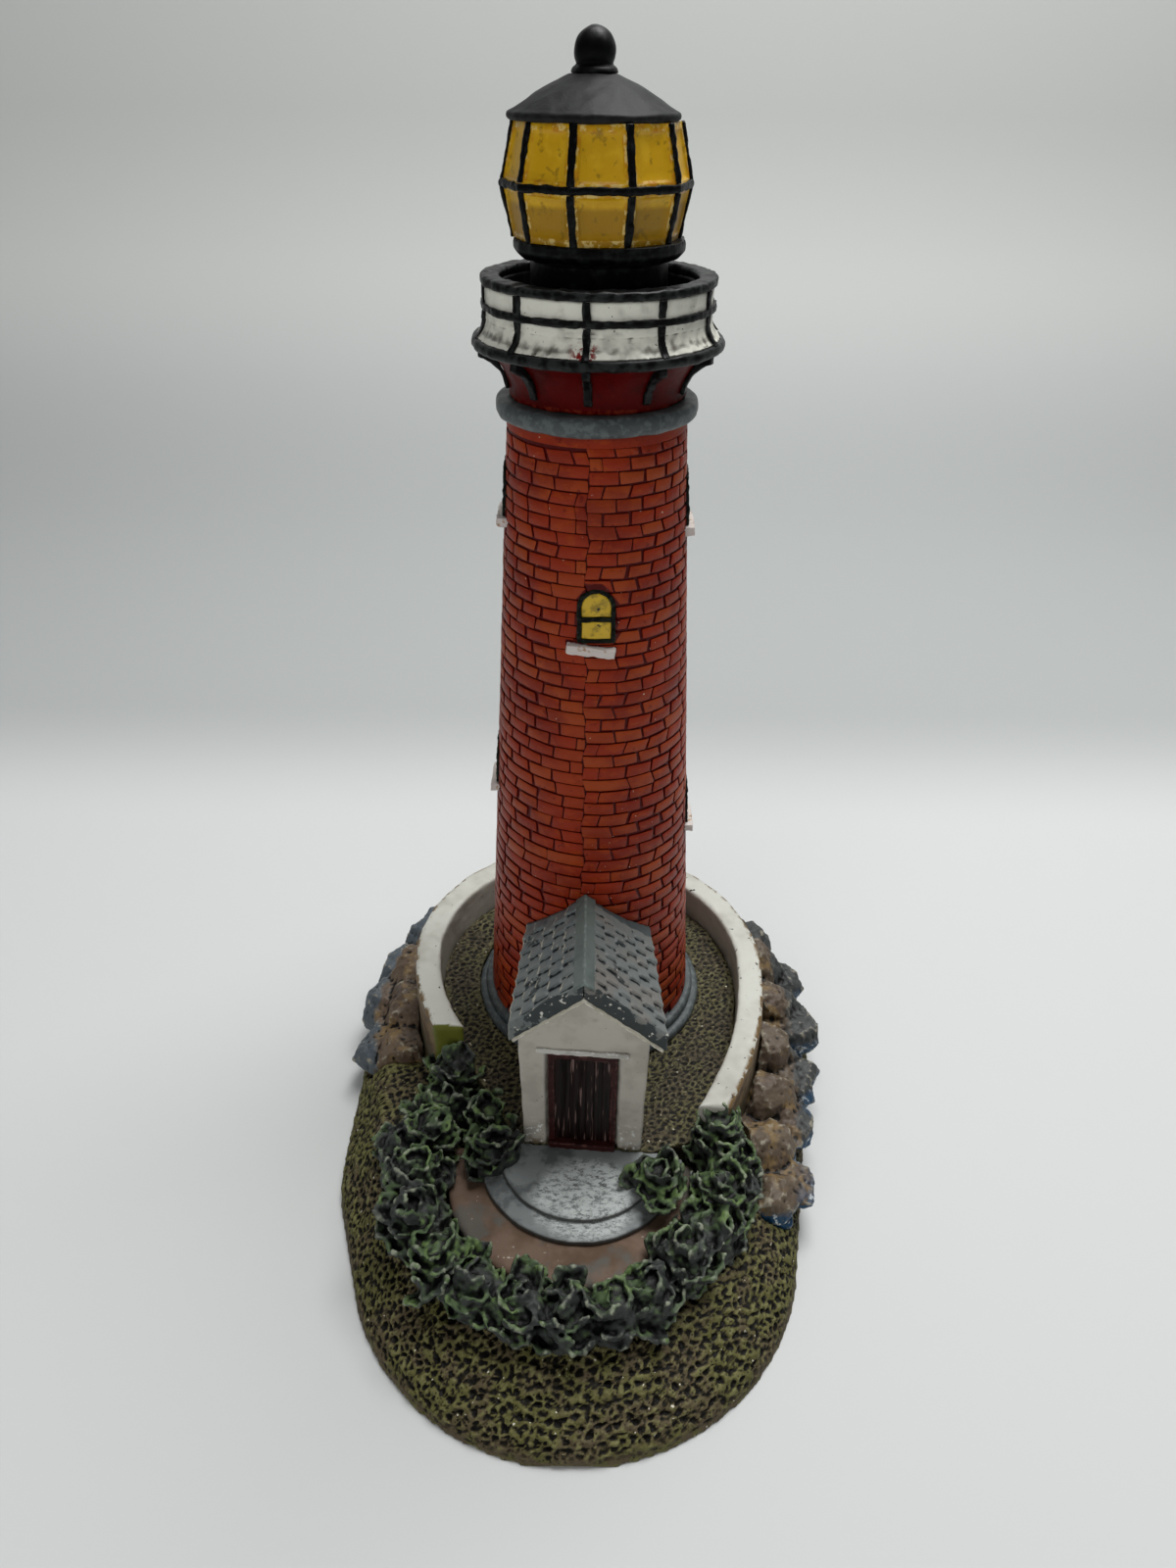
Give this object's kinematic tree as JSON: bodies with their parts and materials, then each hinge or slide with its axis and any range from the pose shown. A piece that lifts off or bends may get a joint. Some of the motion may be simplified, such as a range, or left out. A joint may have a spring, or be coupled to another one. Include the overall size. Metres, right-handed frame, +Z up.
{
  "type": "lighthouse figurine",
  "caption": "Painted cast figurine of a round brick lighthouse with a gallery and lantern, a gabled cottage at its foot, a walled garden, hedge, rocks and sea on a grassy mound",
  "frame": {"origin": "on the axis of the tower, in the plane of the flat underside", "axes": "+Z up along the tower, the cottage and its door face -Y, +X to the right seen from the front"},
  "size_m": [0.1206, 0.1685, 0.2296],
  "materials": {
    "turf": "matte paint over a pitted casting, olive green",
    "yard_turf": "matte paint, brown-green stringy turf",
    "terrace_earth": "matte paint, terracotta brown with grey patches",
    "step_stone": "matte grey paint with a white dry-brush",
    "foliage": "matte dark green paint with a light green dry-brush",
    "rock_tan": "matte tan and slate-blue paint",
    "rock_slate": "matte slate-grey and ochre paint",
    "sea": "satin blue paint with white foam",
    "wall_white": "satin white paint, worn at the edges",
    "cottage_wall": "satin cream-white paint",
    "slate": "matte blue-grey paint",
    "ridge": "matte teal-grey paint",
    "bargeboard": "matte cream paint",
    "door_maroon": "satin dark maroon paint",
    "brick": "satin orange-red paint with dark red joints",
    "plinth_grey": "satin blue-grey paint",
    "window_black": "satin black paint",
    "window_yellow": "satin ochre-yellow paint",
    "window_sill_white": "matte white paint over red",
    "corbel_red": "satin dark red paint",
    "gallery_black": "satin black paint with grey edges",
    "gallery_white": "satin white paint with specks",
    "lantern_yellow": "satin amber-yellow paint, orange at the edges",
    "lantern_black": "satin charcoal-black paint"
  },
  "bodies": {
    "root": {"base_mound": "turf", "corbel_drum": "corbel_red", "cottage_bargeboard_left": "bargeboard", "cottage_bargeboard_right": "bargeboard", "cottage_ridge_cap": "ridge", "cottage_roof_left": "slate", "cottage_roof_right": "slate", "cottage_walls": "cottage_wall", "door_frame": "door_maroon", "door_leaf": "door_maroon", "door_lintel": "cottage_wall", "door_sill": "door_maroon", "gallery_brackets": "gallery_black", "gallery_deck": "gallery_black", "gallery_mid_rail": "gallery_black", "gallery_parapet": "gallery_white", "gallery_posts": "gallery_black", "gallery_top_rail": "gallery_black", "garden_wall": "wall_white", "hedge_front": "foliage", "hedge_left": "foliage", "hedge_right": "foliage", "lantern_bars_lower": "lantern_black", "lantern_bars_upper": "lantern_black", "lantern_glazing_lower": "lantern_yellow", "lantern_glazing_upper": "lantern_yellow", "lantern_pedestal": "lantern_black", "lantern_roof": "lantern_black", "lantern_sill": "lantern_black", "lantern_waist_ring": "lantern_black", "plinth_lower": "plinth_grey", "plinth_upper": "plinth_grey", "roof_finial": "lantern_black", "sea_water": "sea", "shore_rocks_left": "rock_tan", "shore_rocks_right": "rock_slate", "shrub_left": "foliage", "shrub_right": "foliage", "step_lower": "step_stone", "step_upper": "step_stone", "terrace_path": "terrace_earth", "tower_collar": "plinth_grey", "tower_shaft": "brick", "window_front_frame": "window_black", "window_front_panes": "window_yellow", "window_front_sill": "window_sill_white", "window_left_lower_frame": "window_black", "window_left_lower_panes": "window_yellow", "window_left_lower_sill": "window_sill_white", "window_left_upper_frame": "window_black", "window_left_upper_panes": "window_yellow", "window_left_upper_sill": "window_sill_white", "window_right_lower_frame": "window_black", "window_right_lower_panes": "window_yellow", "window_right_lower_sill": "window_sill_white", "window_right_upper_frame": "window_black", "window_right_upper_panes": "window_yellow", "window_right_upper_sill": "window_sill_white", "yard_turf": "yard_turf"}
  },
  "joints": []
}
